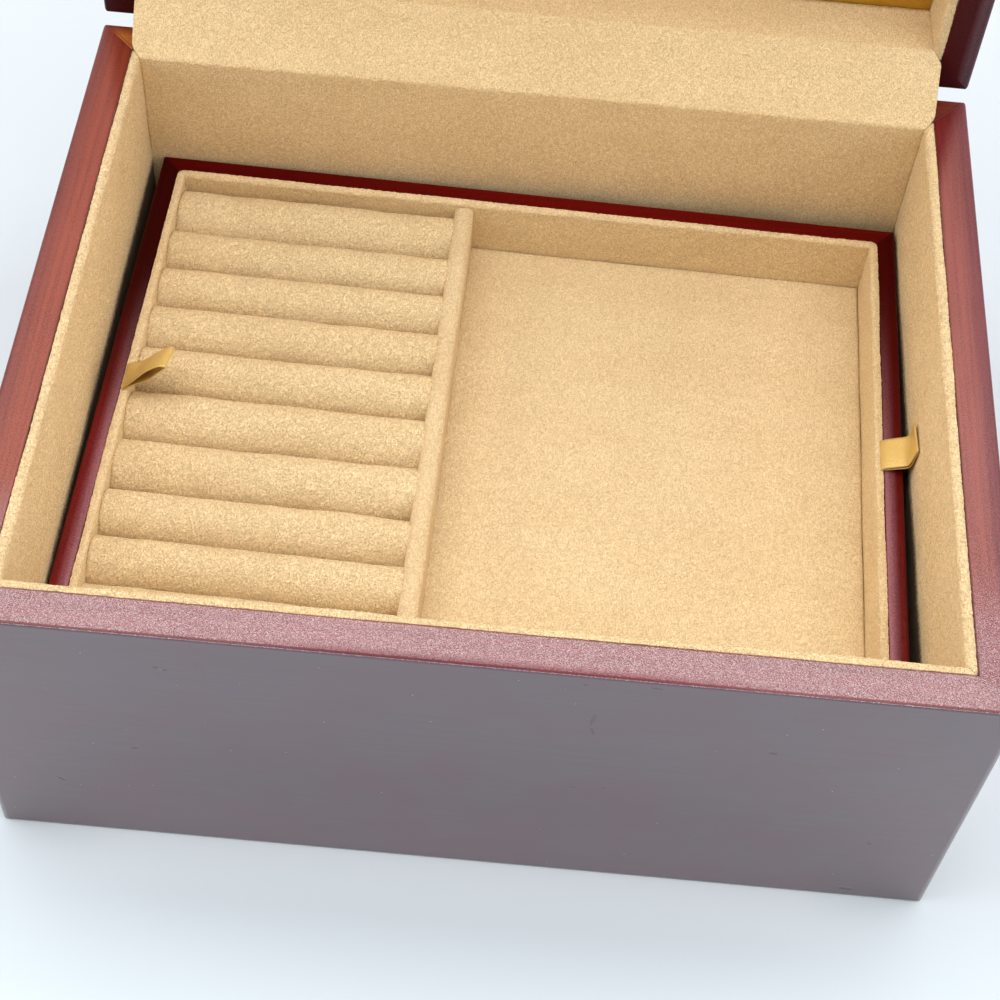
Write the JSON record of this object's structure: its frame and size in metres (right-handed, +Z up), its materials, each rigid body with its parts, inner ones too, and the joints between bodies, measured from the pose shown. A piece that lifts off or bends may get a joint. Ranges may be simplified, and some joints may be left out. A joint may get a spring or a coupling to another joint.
{
  "type": "jewellery chest",
  "caption": "Lacquered wooden jewellery chest with a hinged lid, felt lining and a lift-out tray with ring rolls, a divider and ribbon pulls.",
  "frame": {"origin": "middle of the case's underside, on the surface that it stands on", "axes": "+X to the right of someone facing the chest, +Y to the back where the hinges are, +Z up"},
  "size_m": [0.3, 0.293, 0.3693],
  "materials": {
    "lacquered_wood": "mahogany red satin lacquer",
    "tray_wood": "dark red lacquer",
    "base_board": "plain dark board",
    "felt": "tan felt",
    "gold_panel": "gold satin cloth",
    "ribbon": "gold satin ribbon",
    "brass": "satin"
  },
  "bodies": {
    "case": {"case_front": "lacquered_wood", "case_right": "lacquered_wood", "case_back": "lacquered_wood", "case_left": "lacquered_wood", "base_board": "base_board", "liner_front": "felt", "liner_right": "felt", "liner_back": "felt", "liner_left": "felt", "floor_pad": "felt", "tray_rest_left": "felt", "tray_rest_right": "felt", "hinge_left_case_leaf": "brass", "hinge_left_pin": "brass", "hinge_right_case_leaf": "brass", "hinge_right_pin": "brass", "hinge_screws_case": "brass", "hinge_flap": "felt"},
    "lid": {"lid_front": "lacquered_wood", "lid_right": "lacquered_wood", "lid_back": "lacquered_wood", "lid_left": "lacquered_wood", "lid_top": "lacquered_wood", "lid_panel": "gold_panel", "lid_liner_front": "felt", "lid_liner_right": "felt", "lid_liner_back": "felt", "lid_liner_left": "felt", "hinge_left_lid_leaf": "brass", "hinge_right_lid_leaf": "brass", "hinge_screws_lid": "brass"},
    "tray": {"tray_front": "tray_wood", "tray_right": "tray_wood", "tray_back": "tray_wood", "tray_left": "tray_wood", "tray_base": "base_board", "tray_liner_front": "felt", "tray_liner_right": "felt", "tray_liner_back": "felt", "tray_liner_left": "felt", "tray_divider": "felt", "tray_pad": "felt", "ring_roll_1": "felt", "ring_roll_2": "felt", "ring_roll_3": "felt", "ring_roll_4": "felt", "ring_roll_5": "felt", "ring_roll_6": "felt", "ring_roll_7": "felt", "ring_roll_8": "felt", "ring_roll_9": "felt", "ring_roll_10": "felt", "pull_left": "ribbon", "pull_right": "ribbon"}
  },
  "joints": [
    {"name": "lid_hinge", "type": "hinge", "parent": "case", "child": "lid", "pos_m": [0, 0.1243, 0.1232], "axis": [1, 0, 0], "range_deg": [0, 92], "deforming": ["hinge_flap"]},
    {"name": "tray_lift", "type": "slide", "parent": "case", "child": "tray", "axis": [0, 0, 1], "range_m": [0, 0.13]}
  ]
}
